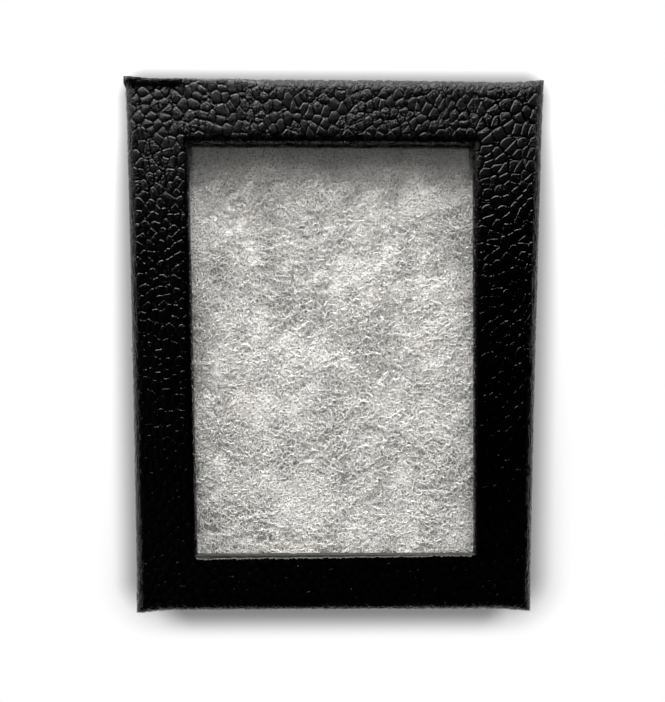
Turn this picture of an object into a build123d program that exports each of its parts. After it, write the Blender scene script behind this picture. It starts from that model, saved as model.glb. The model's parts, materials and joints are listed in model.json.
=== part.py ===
from build123d import *
import os

# A glass-topped specimen case: a deep lid that slides down over a tray, both of chipboard
# wrapped in paper, with a fibre pad inside and a locking pin in each long wall.
# Millimetres. The closed case lies on its back: +Z is up through the window, +Y runs to the far
# end and +X to the right. The origin is the centre of the tray's underside.

# Size of the closed case, 3 1/4 by 4 1/4 by 3/4 inches, and of the window in its lid
case_width = 82.55
case_length = 107.95
case_depth = 19.05
window_width = 58.1
window_length = 83.6

# Sheet stock
board = 1.3
lid_paper = 0.3
tray_paper = 0.25
stay_paper = 0.15
glass_thickness = 2.0
strip_thickness = 2.0

# Heights, and how far the papers are turned in
lid_standoff = 0.5
tray_height = 11.0
lid_turn_in = 7.0
tray_turn_in = 7.5
window_turn_in = 5.0
stay_width = 9.0
stay_inset = 1.0

# Rounding of the folded edges at the face of the paper, and of the glass
lid_fold_radius = 1.8
window_fold_radius = 1.1
tray_fold_radius = 1.2
glass_seam = 0.2

# Clearances, each on one side
lid_clearance = 0.4
glass_clearance = 0.5
butt_gap = 0.1
pad_side_gap = 0.8
pad_top_gap = 0.3
pin_hole_gap = 0.05
pin_point_gap = 0.15

# Fibre pad
pad_corner_radius = 5.0
pad_shoulder_radius = 3.5
pad_foot_radius = 1.0

# Locking pins
pin_radius = 0.5
pin_length = 4.5
pin_point = 1.2
pin_height = 5.5
pin_head_radius = 1.5
pin_head_thickness = 0.6
pin_head_round = 0.25

# Lid board: a panel with four walls folded down, inside the thickness of the paper
lid_board_width = case_width - 2 * lid_paper
lid_board_length = case_length - 2 * lid_paper
lid_board_low = lid_standoff + lid_paper
panel_top = case_depth - lid_paper
panel_low = panel_top - board
lid_inner_width = lid_board_width - 2 * board
lid_inner_length = lid_board_length - 2 * board

# Glass under the panel, bearing on the paper that is turned in round the window
glass_top = panel_low - lid_paper
glass_low = glass_top - glass_thickness
glass_width = lid_inner_width - 2 * glass_clearance
glass_length = lid_inner_length - 2 * glass_clearance

# Tray, which slides inside the paper that is turned in along the lid's walls
lid_clear_width = lid_inner_width - 2 * lid_paper
lid_clear_length = lid_inner_length - 2 * lid_paper
tray_width = lid_clear_width - 2 * lid_clearance
tray_length = lid_clear_length - 2 * lid_clearance
tray_board_width = tray_width - 2 * tray_paper
tray_board_length = tray_length - 2 * tray_paper
tray_board_top = tray_height - tray_paper
tray_floor_top = tray_paper + board
tray_inner_width = tray_board_width - 2 * board
tray_inner_length = tray_board_length - 2 * board
tray_clear_width = tray_inner_width - 2 * tray_paper
tray_clear_length = tray_inner_length - 2 * tray_paper

# At rest the pins are drawn back until their points just clear the tray
pin_tip_x = tray_width / 2 + pin_point_gap
pin_head_x = pin_tip_x + pin_length

sides = {"left": -1, "right": 1}
ends = {"near": -1, "far": 1}

os.makedirs("parts", exist_ok=True)


def block(width, length, low, high, mode=Mode.ADD):
    """A rectangular block on the current centre line, between two heights."""
    with Locations((0, 0, low)):
        Box(width, length, high - low, align=(Align.CENTER, Align.CENTER, Align.MIN), mode=mode)


def pin_holes():
    """The bore that both pins share, across the whole case."""
    with Locations(Location((case_width / 2, 0, pin_height), (0, 90, 0))):
        Hole(pin_radius + pin_hole_gap, depth=case_width)


def butt_joints(board_width, board_length, low, high):
    """The slits where the end walls of a folded board butt against its side walls."""
    with GridLocations(board_width - 2 * board - butt_gap, board_length - board, 2, 2):
        block(butt_gap, board, low, high, Mode.SUBTRACT)


def corner_stays(name, board_width, board_length, low, high):
    """A strip of gummed tape folded round each upright corner of a board."""
    stays = []
    for end_name, end in ends.items():
        for side_name, side in sides.items():
            corner_x = side * (board_width / 2 + stay_paper)
            corner_y = end * (board_length / 2 + stay_paper)
            leg = stay_width + stay_paper
            with BuildPart() as stay:
                with BuildSketch(Plane.XY.offset(low)):
                    with Locations((corner_x - side * leg / 2, corner_y - end * leg / 2)):
                        Rectangle(leg, leg)
                    Rectangle(board_width, board_length, mode=Mode.SUBTRACT)
                extrude(amount=high - low)
            stay.part.label = f"{name}_stay_{end_name}_{side_name}"
            export_step(stay.part, f"parts/{stay.part.label}.step")
            stays.append(stay.part)
    return stays


# Lid blank: the folded board before its joints and pin holes. Its window stops short by the
# paper's thickness on the three sides where the paper is folded in. The near side is trimmed
# flush and left raw.
with BuildPart() as lid_blank:
    block(lid_board_width, lid_board_length, lid_board_low, panel_top)
    fillet(lid_blank.faces().sort_by(Axis.Z)[-1].edges(), lid_fold_radius - lid_paper)
    block(lid_inner_width, lid_inner_length, lid_board_low, panel_low, Mode.SUBTRACT)
    with Locations((0, lid_paper / 2, 0)):
        block(
            window_width + 2 * lid_paper,
            window_length + lid_paper,
            panel_low,
            panel_top,
            Mode.SUBTRACT,
        )
    window_edges = lid_blank.faces().sort_by(Axis.Z)[-1].inner_wires()[0].edges()
    fillet(window_edges.sort_by(Axis.Y)[1:], window_fold_radius - lid_paper)

with BuildPart() as lid_board:
    add(lid_blank.part)
    butt_joints(lid_board_width, lid_board_length, lid_board_low, panel_low)
    pin_holes()
lid_board.part.label = "lid_board"
export_step(lid_board.part, "parts/lid_board.step")

lid_stays = corner_stays(
    "lid",
    lid_board_width,
    lid_board_length,
    lid_board_low + stay_inset,
    case_depth - lid_fold_radius,
)

# Lid wrap: one sheet over the panel and down the walls, turned in under them and round three
# sides of the window. It lies over the stays.
with BuildPart() as lid_wrap:
    block(case_width, case_length, lid_standoff, case_depth)
    fillet(lid_wrap.faces().sort_by(Axis.Z)[-1].edges(), lid_fold_radius)
    block(window_width, window_length, glass_top, case_depth, Mode.SUBTRACT)
    window_edges = lid_wrap.faces().sort_by(Axis.Z)[-1].inner_wires()[0].edges()
    fillet(window_edges.sort_by(Axis.Y)[1:], window_fold_radius)
    turn_in_top = lid_standoff + lid_turn_in
    block(lid_clear_width, lid_clear_length, lid_standoff, turn_in_top, Mode.SUBTRACT)
    block(lid_inner_width, lid_inner_length, turn_in_top, glass_top, Mode.SUBTRACT)
    with BuildSketch(Plane.XY.offset(glass_top)):
        Rectangle(lid_inner_width, lid_inner_length)
        with Locations((0, window_turn_in / 2)):
            Rectangle(
                window_width + 2 * window_turn_in,
                window_length + window_turn_in,
                mode=Mode.SUBTRACT,
            )
    extrude(amount=lid_paper, mode=Mode.SUBTRACT)
    add(lid_blank.part, mode=Mode.SUBTRACT)
    add(lid_stays, mode=Mode.SUBTRACT)
    pin_holes()
lid_wrap.part.label = "lid_wrap"
export_step(lid_wrap.part, "parts/lid_wrap.step")

with BuildPart() as window_glass:
    block(glass_width, glass_length, glass_low, glass_top)
    chamfer(window_glass.faces().filter_by(Axis.Z).edges(), glass_seam)
window_glass.part.label = "window_glass"
export_step(window_glass.part, "parts/window_glass.step")

# Card strips glued inside the lid's walls: they hold the glass up and stop on the tray's rim
for side_name, side in sides.items():
    with BuildPart() as side_strip:
        with Locations((side * (lid_inner_width - strip_thickness) / 2, 0, 0)):
            block(strip_thickness, lid_inner_length, tray_height, glass_low)
    side_strip.part.label = f"glass_strip_{side_name}"
    export_step(side_strip.part, f"parts/glass_strip_{side_name}.step")

for end_name, end in ends.items():
    with BuildPart() as end_strip:
        with Locations((0, end * (lid_inner_length - strip_thickness) / 2, 0)):
            block(lid_inner_width - 2 * strip_thickness, strip_thickness, tray_height, glass_low)
    end_strip.part.label = f"glass_strip_{end_name}"
    export_step(end_strip.part, f"parts/glass_strip_{end_name}.step")

# Tray blank: the folded board before its joints and pin holes
with BuildPart() as tray_blank:
    block(tray_board_width, tray_board_length, tray_paper, tray_board_top)
    fillet(tray_blank.faces().sort_by(Axis.Z)[0].edges(), tray_fold_radius - tray_paper)
    block(tray_inner_width, tray_inner_length, tray_floor_top, tray_board_top, Mode.SUBTRACT)

with BuildPart() as tray_board:
    add(tray_blank.part)
    butt_joints(tray_board_width, tray_board_length, tray_floor_top, tray_board_top)
    pin_holes()
tray_board.part.label = "tray_board"
export_step(tray_board.part, "parts/tray_board.step")

tray_stays = corner_stays(
    "tray",
    tray_board_width,
    tray_board_length,
    tray_fold_radius,
    tray_board_top - stay_inset,
)

# Tray wrap: one sheet under the floor and up the walls, turned in over the rim
with BuildPart() as tray_wrap:
    block(tray_width, tray_length, 0, tray_height)
    fillet(tray_wrap.faces().sort_by(Axis.Z)[0].edges(), tray_fold_radius)
    turn_in_low = tray_height - tray_turn_in
    block(tray_clear_width, tray_clear_length, turn_in_low, tray_height, Mode.SUBTRACT)
    block(tray_inner_width, tray_inner_length, tray_floor_top, turn_in_low, Mode.SUBTRACT)
    add(tray_blank.part, mode=Mode.SUBTRACT)
    add(tray_stays, mode=Mode.SUBTRACT)
    pin_holes()
tray_wrap.part.label = "tray_wrap"
export_step(tray_wrap.part, "parts/tray_wrap.step")

# Fibre pad: it fills the tray and swells above its rim until the glass flattens its crown
with BuildPart() as fibre_pad:
    block(
        tray_clear_width - 2 * pad_side_gap,
        tray_clear_length - 2 * pad_side_gap,
        tray_floor_top,
        glass_low - pad_top_gap,
    )
    fillet(fibre_pad.edges().filter_by(Axis.Z), pad_corner_radius)
    fillet(fibre_pad.faces().sort_by(Axis.Z)[-1].edges(), pad_shoulder_radius)
    fillet(fibre_pad.faces().sort_by(Axis.Z)[0].edges(), pad_foot_radius)
fibre_pad.part.label = "fibre_pad"
export_step(fibre_pad.part, "parts/fibre_pad.step")

# Locking pins: flat heads outside, points towards the tray
for side_name, side in sides.items():
    with BuildPart() as pin:
        with BuildSketch(Plane.XZ):
            with BuildLine():
                Polyline(
                    (side * pin_tip_x, pin_height),
                    (side * (pin_tip_x + pin_point), pin_height + pin_radius),
                    (side * pin_head_x, pin_height + pin_radius),
                    (side * pin_head_x, pin_height + pin_head_radius),
                    (side * (pin_head_x + pin_head_thickness), pin_height + pin_head_radius),
                    (side * (pin_head_x + pin_head_thickness), pin_height),
                    close=True,
                )
            make_face()
        revolve(axis=Axis((0, 0, pin_height), (1, 0, 0)))
        head_face = pin.faces().sort_by(Axis((0, 0, 0), (side, 0, 0)))[-1]
        fillet(head_face.edges(), pin_head_round)
    pin.part.label = f"pin_{side_name}"
    export_step(pin.part, f"parts/pin_{side_name}.step")

print(f"pins stand {pin_head_x - case_width / 2:.3f} mm off the lid at rest")
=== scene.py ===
# %% [markdown]
# # A glass-topped specimen case
# The case is a deep lid over a tray. Both are chipboard boxes wrapped in black embossed paper.
# A pane of glass closes the lid's window, and a fibre pad presses specimens up against it.
# The frame is the finished construction at its real size. This lesson dresses it: the wraps
# are folded from flat sheets and embossed, the pad is filled with fibres, and each piece gets
# its finish. Lengths are in metres, and small ones are written as a number times `mm`.

# %% Load the frame
import json
import math

import bmesh
import bpy
import numpy as np
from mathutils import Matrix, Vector

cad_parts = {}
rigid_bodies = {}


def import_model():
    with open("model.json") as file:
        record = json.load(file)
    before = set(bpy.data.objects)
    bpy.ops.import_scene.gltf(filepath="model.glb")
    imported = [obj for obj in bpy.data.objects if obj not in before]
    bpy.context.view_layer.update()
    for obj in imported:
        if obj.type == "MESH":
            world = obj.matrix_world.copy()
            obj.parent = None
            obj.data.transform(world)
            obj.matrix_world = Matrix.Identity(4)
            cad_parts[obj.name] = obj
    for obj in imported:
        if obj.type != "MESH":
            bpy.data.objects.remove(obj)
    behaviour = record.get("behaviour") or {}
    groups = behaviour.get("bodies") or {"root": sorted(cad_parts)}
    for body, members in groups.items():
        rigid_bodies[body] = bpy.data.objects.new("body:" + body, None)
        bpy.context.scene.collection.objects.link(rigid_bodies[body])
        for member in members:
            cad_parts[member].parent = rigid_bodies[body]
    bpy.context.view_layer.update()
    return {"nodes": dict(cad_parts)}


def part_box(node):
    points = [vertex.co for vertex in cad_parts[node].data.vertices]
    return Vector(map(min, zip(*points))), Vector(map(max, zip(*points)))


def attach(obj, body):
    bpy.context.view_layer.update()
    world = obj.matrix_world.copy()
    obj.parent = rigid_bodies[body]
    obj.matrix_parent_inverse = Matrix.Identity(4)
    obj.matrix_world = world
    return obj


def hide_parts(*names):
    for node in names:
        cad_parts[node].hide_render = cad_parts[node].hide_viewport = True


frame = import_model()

mm = 0.001
case_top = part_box("lid_wrap")[1].z
case_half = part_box("lid_wrap")[1].xy

# %% [markdown]
# ## The camera
# The photographer stood over the case, a little towards its far end, with the camera tilted
# back by a few degrees. That is why the far rail looks wider than the near one. A camera that
# projects the case's corners where the photograph has them was found by least squares, for an
# ordinary 36 mm lens on a 36 mm sensor.

# %% Camera
camera_place = Vector((-2.49, 12.25, 160.08)) * mm
camera_tilt = [math.radians(angle) for angle in (-4.709, -0.804, 0.102)]
camera_data = bpy.data.cameras.new("camera")
camera_data.lens = 36
camera_data.sensor_width = 36
camera_data.clip_start = 0.01
camera = bpy.data.objects.new("camera", camera_data)
camera.location = camera_place
camera.rotation_euler = camera_tilt
bpy.context.scene.collection.objects.link(camera)
bpy.context.scene.camera = camera
bpy.context.scene.view_settings.view_transform = "Standard"
print("camera height, mm:", camera_place.z / mm)

# %% [markdown]
# ## Nodes, briefly
# A material or a modifier is a net of nodes. Written out in full, each node takes a line for
# every socket, so a few small helpers add a node and fill its sockets in one call.


# %% Nodes, briefly
def add(tree, kind, inputs=None, **settings):
    """Add a node. Each input is either a value or the socket it is linked from."""
    new = tree.nodes.new(kind)
    for setting, value in settings.items():
        setattr(new, setting, value)
    for socket, value in (inputs or {}).items():
        if isinstance(value, bpy.types.NodeSocket):
            tree.links.new(value, new.inputs[socket])
        else:
            new.inputs[socket].default_value = value
    return new


def maths(tree, operation, *values):
    """The output of a Math node."""
    return add(tree, "ShaderNodeMath", dict(enumerate(values)), operation=operation).outputs[0]


def remap(tree, value, low, high, to_low=0.0, to_high=1.0):
    """A value brought smoothly from one range to another and held there."""
    inputs = {
        "Value": value,
        "From Min": low,
        "From Max": high,
        "To Min": to_low,
        "To Max": to_high,
    }
    return add(tree, "ShaderNodeMapRange", inputs, interpolation_type="SMOOTHSTEP").outputs[0]


def noise(tree, place, scale, detail=2.0, output="Fac", flat=False):
    """Cloudy noise at a place."""
    inputs = {"Vector": place, "Scale": scale, "Detail": detail}
    dimensions = "2D" if flat else "3D"
    return add(tree, "ShaderNodeTexNoise", inputs, noise_dimensions=dimensions).outputs[output]


def blend_colours(tree, factor, first, second):
    """Two colours mixed by a factor."""
    inputs = {"Factor": factor, "A": first, "B": second}
    mix = add(tree, "ShaderNodeMix", None, data_type="RGBA")
    for name, value in inputs.items():
        socket = next(one for one in mix.inputs if one.name == name and one.enabled)
        if isinstance(value, bpy.types.NodeSocket):
            tree.links.new(value, socket)
        else:
            socket.default_value = value
    return next(one for one in mix.outputs if one.enabled)


def grey(level, warmth=0.0):
    """A colour from its level, a little towards yellow as warmth rises."""
    return (level * (1 + warmth), level, level * (1 - warmth), 1)


def object_place(tree):
    """A point's place on its piece, in metres."""
    coordinates = add(tree, "ShaderNodeTexCoord")
    return coordinates.outputs["Object"]


def stored(tree, name):
    """A value that was kept on the piece as an attribute."""
    return add(tree, "ShaderNodeAttribute", attribute_name=name).outputs["Fac"]


def new_group(name, kind, inputs, outputs):
    """A node group with named sockets. Returns the group, its input node and its output node."""
    group = bpy.data.node_groups.new(name, kind)
    for socket, socket_type in inputs.items():
        group.interface.new_socket(socket, in_out="INPUT", socket_type=socket_type)
    for socket, socket_type in outputs.items():
        group.interface.new_socket(socket, in_out="OUTPUT", socket_type=socket_type)
    return group, add(group, "NodeGroupInput"), add(group, "NodeGroupOutput")


# %% [markdown]
# ## The floor, the light and the sky
# The photograph's light comes from one side: the far rim shades the pad, deeply at first and
# fading over 15 mm, and the grain's far-facing slopes shine. So it is a broad light beyond the
# case's far side and a little to the left, brightest low down, as from a window. Three soft
# boxes do this for the pad. They stand at one distance and overlap, each reaching higher and
# dimmer than the last, so that the shade fades without a step.
#
# Seen from the front, glossy paper and glass would mirror so bright a light as a white glare.
# So light linking keeps the three off them. The paper has a smaller and much dimmer soft box
# of its own on the same side, low enough to catch the pebbles' banks and miss their flat tops,
# and a faint one at the left that draws out its folds. Black paper only looks black where
# there is little above it to mirror, so the sky is pale at its horizon and dark overhead.
#
# The floor is white. To the camera it is whiter than any paint, as on an overexposed studio
# sweep, and that leaves only the deeper part of the case's shadow showing. To the light that
# bounces off it, it is ordinary white paint. A floor so white would lose the shadow where the
# case touches it, so a band round the case is painted darker. The band's outline is a little
# larger than the case and a little off its middle, because the shadow is wider on some sides
# than on others.

# %% Floor
floor_size = 3.0
contact_fades = (3.5 * mm, 11 * mm)
contact_grey = 0.1
open_grey = 0.95
bounce_grey = 0.8
band_past = (0.1 * mm, 0.5 * mm, 0)
band_middle = (0.25 * mm, 0.3 * mm, 0)
shadow_fades = (8.5 * mm, 15.5 * mm)
nearest_glow = 0.21
bpy.ops.mesh.primitive_grid_add(x_subdivisions=4, y_subdivisions=4, size=floor_size)
floor = bpy.context.object
floor.name = "floor"


def see_white(tree, glossy=1.0):
    """1 for a ray from the camera, or one that a clear or glossy surface passes on.

    A ray that left the pad through the glass is none of these, so the white doesn't light it.
    """
    path = add(tree, "ShaderNodeLightPath").outputs
    direct = maths(tree, "MAXIMUM", path["Is Camera Ray"], path["Is Transmission Ray"])
    mirrored = maths(tree, "MULTIPLY", path["Is Glossy Ray"], glossy)
    direct = maths(tree, "MAXIMUM", direct, mirrored)
    return maths(tree, "MULTIPLY", direct, maths(tree, "LESS_THAN", path["Diffuse Depth"], 0.5))


floor_paint = bpy.data.materials.new("floor_white")
floor_paint.use_nodes = True
tree = floor_paint.node_tree
tree.nodes.clear()
# How far a point of the floor lies past the band's outline, in X and in Y.
past = object_place(tree)
band_half = Vector((*case_half, 0)) + Vector(band_past)
for operation, *other in (
    ("SUBTRACT", band_middle),
    ("ABSOLUTE",),
    ("SUBTRACT", band_half),
    ("MAXIMUM", (0, 0, 0)),
):
    inputs = dict(enumerate([past, *other]))
    past = add(tree, "ShaderNodeVectorMath", inputs, operation=operation).outputs[0]
reach = add(tree, "ShaderNodeVectorMath", {0: past}, operation="LENGTH").outputs["Value"]
seen_paint = remap(tree, reach, *contact_fades)
seen_paint = blend_colours(tree, seen_paint, grey(contact_grey), grey(open_grey))
paint = blend_colours(tree, see_white(tree), grey(bounce_grey), seen_paint)
shaded = add(tree, "ShaderNodeBsdfDiffuse", {"Color": paint})
glow = add(tree, "ShaderNodeEmission", {"Color": grey(1.0), "Strength": 1.0})
far_away = remap(tree, reach, *shadow_fades, nearest_glow, 1.0)
far_away = maths(tree, "MULTIPLY", far_away, see_white(tree))
both = add(tree, "ShaderNodeMixShader", {0: far_away, 1: shaded.outputs[0], 2: glow.outputs[0]})
add(tree, "ShaderNodeOutputMaterial", {"Surface": both.outputs[0]})
floor.data.materials.append(floor_paint)

# %% Lamps
all_but_gloss = bpy.data.collections.new("all_but_gloss")
paper_alone = bpy.data.collections.new("paper_alone")


def link_light(receivers, piece, state):
    """Say that a piece is the one that some lamps light, or one that they leave out."""
    receivers.objects.link(piece)
    receivers.collection_objects[-1].light_linking.link_state = state


def softbox(name, place, size, energy, receivers):
    """A soft box facing the case. Its place is (degrees to the left, degrees up, distance).

    The renderer finds a lamp in two ways: by aiming at it, and by following a bounced ray. Both
    share the light, and the pane stops the second way, so a lamp for the pad is only aimed at.
    """
    data = bpy.data.lights.new(name, "AREA")
    data.shape = "RECTANGLE"
    data.size, data.size_y = size
    data.energy = energy
    data.cycles.use_multiple_importance_sampling = receivers == paper_alone
    aside, up = (math.radians(angle) for angle in place[:2])
    left, away = -math.sin(aside), math.cos(aside)
    toward = Vector((left * math.cos(up), away * math.cos(up), math.sin(up)))
    lamp = bpy.data.objects.new(name, data)
    lamp.location = toward * place[2]
    lamp.rotation_euler = toward.to_track_quat("Z", "Y").to_euler()
    lamp.light_linking.receiver_collection = receivers
    bpy.context.scene.collection.objects.link(lamp)
    print(name, "at mm:", [round(value / mm) for value in lamp.location])


softbox("softbox_low", (4, 18, 0.45), (0.70, 0.20), 8.5, all_but_gloss)
softbox("softbox_taller", (4, 25, 0.45), (0.70, 0.32), 3.6, all_but_gloss)
softbox("softbox_overhead", (4, 48, 0.45), (0.70, 0.75), 0.85, all_but_gloss)
softbox("softbox_for_paper", (12, 27, 0.25), (0.34, 0.08), 0.68, paper_alone)
softbox("softbox_aside", (95, 38, 0.40), (0.30, 0.25), 0.011, paper_alone)
link_light(all_but_gloss, frame["nodes"]["window_glass"], "EXCLUDE")

# %% Sky
horizon_fades = (0.0, 0.28)
overhead_share = 0.012
far_side_from = (-0.1, 0.8)
horizon_levels = (0.05, 0.24)
sky = bpy.data.worlds.new("sky")
bpy.context.scene.world = sky
sky.use_nodes = True
tree = sky.node_tree
tree.nodes.clear()
direction = add(tree, "ShaderNodeTexCoord").outputs["Generated"]
direction = add(tree, "ShaderNodeSeparateXYZ", {0: direction}).outputs
low_down = remap(tree, direction["Z"], *horizon_fades, 1.0, overhead_share)
far_side = remap(tree, direction["Y"], *far_side_from, *horizon_levels)
brightness = maths(tree, "MULTIPLY", low_down, far_side)
level = maths(tree, "MAXIMUM", brightness, see_white(tree, glossy=0.0))
backdrop = add(tree, "ShaderNodeBackground", {"Color": grey(1.0), "Strength": level})
add(tree, "ShaderNodeOutputWorld", {"Surface": backdrop.outputs[0]})

# %% [markdown]
# ## Helpers for edit mode
# Operators act on whatever is selected, and the frame arrives selected. So each step starts
# from nothing selected, and faces and edges are then picked by where they lie.


# %% Helpers for edit mode
def nothing_selected():
    """Leave object mode with nothing selected and nothing active."""
    if bpy.context.mode != "OBJECT":
        bpy.ops.object.mode_set(mode="OBJECT")
    bpy.ops.object.select_all(action="DESELECT")
    bpy.context.view_layer.objects.active = None


def only(piece):
    """Select one piece and make it active."""
    nothing_selected()
    piece.select_set(True)
    bpy.context.view_layer.objects.active = piece


def edit(piece, kind="EDGE"):
    """Open a piece in edit mode with nothing selected."""
    only(piece)
    bpy.ops.object.mode_set(mode="EDIT")
    bpy.ops.mesh.select_mode(type=kind)
    bpy.ops.mesh.select_all(action="DESELECT")


def pick_edges(piece, wanted):
    """Select the edges that pass a test of their middle, their direction and themselves."""
    mesh = bmesh.from_edit_mesh(piece.data)
    for edge in mesh.edges:
        a, b = (vertex.co for vertex in edge.verts)
        edge.select_set(bool(wanted((a + b) / 2, b - a, edge)))
    mesh.select_flush_mode()
    bmesh.update_edit_mesh(piece.data)


def pick_faces(piece, wanted):
    """Select the faces that pass a test of their middle and normal."""
    mesh = bmesh.from_edit_mesh(piece.data)
    for face in mesh.faces:
        face.select_set(bool(wanted(face.calc_center_median(), face.normal)))
    mesh.select_flush_mode()
    bmesh.update_edit_mesh(piece.data)


def face_outwards():
    """Turn every face of the piece in edit mode outwards, and leave edit mode."""
    bpy.ops.mesh.select_all(action="SELECT")
    bpy.ops.mesh.normals_make_consistent(inside=False)
    bpy.ops.object.mode_set(mode="OBJECT")


def apply_modifiers(piece):
    """Apply every modifier of a piece, from the top of its stack."""
    only(piece)
    for modifier in list(piece.modifiers):
        bpy.ops.object.modifier_apply(modifier=modifier.name)


def points_of(piece):
    """A piece's vertices as an array, in millimetres."""
    flat = np.empty(len(piece.data.vertices) * 3)
    piece.data.vertices.foreach_get("co", flat)
    return flat.reshape(-1, 3) / mm


def move_points(piece, points):
    """Write an array of vertices, in millimetres, back to a piece."""
    piece.data.vertices.foreach_set("co", (points * mm).ravel())
    piece.data.update()


def smooth_step(value, low, high):
    """0 below low and 1 above high, with a smooth ramp between."""
    share = np.clip((value - low) / (high - low), 0, 1)
    return share * share * (3 - 2 * share)


# %% [markdown]
# ## The path of a fold
# A wrap is a flat sheet whose edges run out over the panel's edge, down the wall, round the
# wall's rim and up inside. Seen from the side, that is one path of straights and turns. Each
# flap is made by extruding the sheet's edge along this path. Scaling the edge at each step as
# it moves outwards or inwards mitres the corners, just as the paper does.


# %% The path of a fold
def fold_path(*moves):
    """Points (outward, down, length along the paper) of a profile of straights and turns.

    A move is ("straight", length, steps) or ("turn", radius, angle in degrees, steps).
    """
    out, down, along, heading = 0.0, 0.0, 0.0, 0.0
    path = [(out, down, along)]
    for kind, size, *rest in moves:
        steps = rest[-1]
        turn = math.radians(rest[0]) / steps if kind == "turn" else 0.0
        arc = abs(turn) * size if kind == "turn" else size / steps
        chord = 2 * size * math.sin(abs(turn) / 2) if kind == "turn" else arc
        for _ in range(steps):
            out += chord * math.cos(heading + turn / 2)
            down += chord * math.sin(heading + turn / 2)
            along += arc
            heading += turn
            path.append((out, down, along))
    return path


# %% Over the edge and round the rim
hem_fold = 0.5 * mm


def box_path(fold, high, low, thickness, turn_in, steps):
    """The path over a box's edge, along its wall, round the wall's rim and back inside.

    high and low are the levels of the wall's ends. steps are how many there are round the
    fold, along the wall and along the part that is turned in.
    """
    at_fold, at_wall, inside = steps
    return fold_path(
        ("turn", fold, 90, at_fold),
        ("straight", high - fold - low - hem_fold, at_wall),
        ("turn", hem_fold, 90, 2),
        ("straight", thickness - 2 * hem_fold, 1),
        ("turn", hem_fold, 90, 2),
        ("straight", turn_in - hem_fold, inside),
    )


def extrude_along(path, root_half, centre, toward=1, sense=1):
    """Extrude the selected edges along a path, scaled about a centre so that corners mitre.

    toward is 1 where the path leads away from the centre and -1 where it leads to it. sense
    is 1 where the flap folds down and -1 where it folds up. root_half holds the distances
    from the centre to the edge's sides in X and Y.
    """
    for before, after in zip(path, path[1:]):
        drop = -sense * (after[1] - before[1])
        bpy.ops.mesh.extrude_edges_move(TRANSFORM_OT_translate={"value": (0, 0, drop)})
        grow = [
            (half + toward * after[0]) / (half + toward * before[0]) for half in root_half
        ]
        bpy.ops.transform.resize(value=(*grow, 1), center_override=centre)


# %% [markdown]
# ## A flat sheet of paper
# The sheet starts as one square face, cut by bisecting lines into the rails and the window.
# The window's face is deleted, and the rails are subdivided into cells small enough for the
# embossing, which needs real relief.


# %% A flat sheet of paper
def flat_sheet(name, half, height, cell, window=None):
    """A face of half-size (x, y) at a height, in cells, with a window (left, right, low, high)."""
    nothing_selected()
    bpy.ops.mesh.primitive_plane_add(size=2, location=(0, 0, height))
    sheet = bpy.context.object
    sheet.name = sheet.data.name = name
    bpy.ops.object.mode_set(mode="EDIT")
    bpy.ops.transform.resize(value=(*half, 1), center_override=(0, 0, height))
    bpy.ops.object.mode_set(mode="OBJECT")
    bpy.ops.object.transform_apply(location=True, rotation=True, scale=True)
    lines = {0: [-half[0], half[0]], 1: [-half[1], half[1]]}
    if window:
        lines = {0: sorted([*lines[0], *window[:2]]), 1: sorted([*lines[1], *window[2:]])}
        edit(sheet, "FACE")
        for axis, places in lines.items():
            normal = [1 - axis, axis, 0]
            for place in places[1:-1]:
                bpy.ops.mesh.select_all(action="SELECT")
                at = [place * way for way in normal]
                bpy.ops.mesh.bisect(plane_co=at, plane_no=normal)
        left, right, low, high = window
        pick_faces(sheet, lambda c, n: left < c.x < right and low < c.y < high)
        bpy.ops.mesh.delete(type="FACE")
    for axis, places in lines.items():
        for start, stop in zip(places, places[1:]):
            edit(sheet)
            pick_edges(
                sheet,
                lambda c, d, e: start < c[axis] < stop and abs(d[axis]) > abs(d[1 - axis]),
            )
            cuts = round((stop - start) / cell) - 1
            bpy.ops.mesh.subdivide(number_cuts=cuts, quadcorner="INNERVERT")
    bpy.ops.object.mode_set(mode="OBJECT")
    return sheet


# %% [markdown]
# ## The lid's wrap, folded
# The paper's face lies on the case's outline. It rounds over the panel's edges, runs down the
# walls, round their lower rims and 7 mm up inside. Round the window it is folded in on three
# sides and glued under the panel. On the near side it was trimmed with a knife.

# %% The lid's wrap, folded
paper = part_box("lid_board")[0].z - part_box("lid_wrap")[0].z
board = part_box("lid_board")[1].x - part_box("glass_strip_right")[1].x
glass_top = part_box("window_glass")[1].z
lid_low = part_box("lid_wrap")[0].z
lid_fold = 1.8 * mm
window_fold = 1.1 * mm
window_hem_fold = 0.3 * mm
lid_turn_in = 7.0 * mm
window_turn_in = 5.0 * mm
fine_cell = 0.32 * mm
hair = 0.001 * mm

# Above the pane, the frame's wrap comes nearest to the middle at the window's edge.
wrap_points = points_of(frame["nodes"]["lid_wrap"]) * mm
above_glass = wrap_points[wrap_points[:, 2] > glass_top + 2 * paper]
window_half = np.abs(above_glass[:, :2]).min(axis=0)
print("window, mm:", np.round(2 * window_half / mm, 2), "paper, mm:", round(paper / mm, 2))

sheet_half = [half - lid_fold for half in case_half]
window_root = [
    -window_half[0] - window_fold,
    window_half[0] + window_fold,
    -window_half[1],
    window_half[1] + window_fold,
]
window_span = [window_root[1], window_root[3] - window_root[2]]
lid_wrap = flat_sheet("lid_wrap_paper", sheet_half, case_top, fine_cell, window_root)

wall = board + 2 * paper
lid_path = box_path(lid_fold, case_top, lid_low, wall, lid_turn_in, steps=(6, 24, 3))
window_path = fold_path(
    ("turn", window_fold, 90, 5),
    ("straight", case_top - window_fold - glass_top - window_hem_fold, 1),
    ("turn", window_hem_fold, 90, 2),
    ("straight", window_turn_in - window_hem_fold, 2),
)


def inside_outline(middle):
    """Whether a point lies within the sheet's outline."""
    return all(abs(middle[axis]) < sheet_half[axis] - hair for axis in (0, 1))


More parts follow.
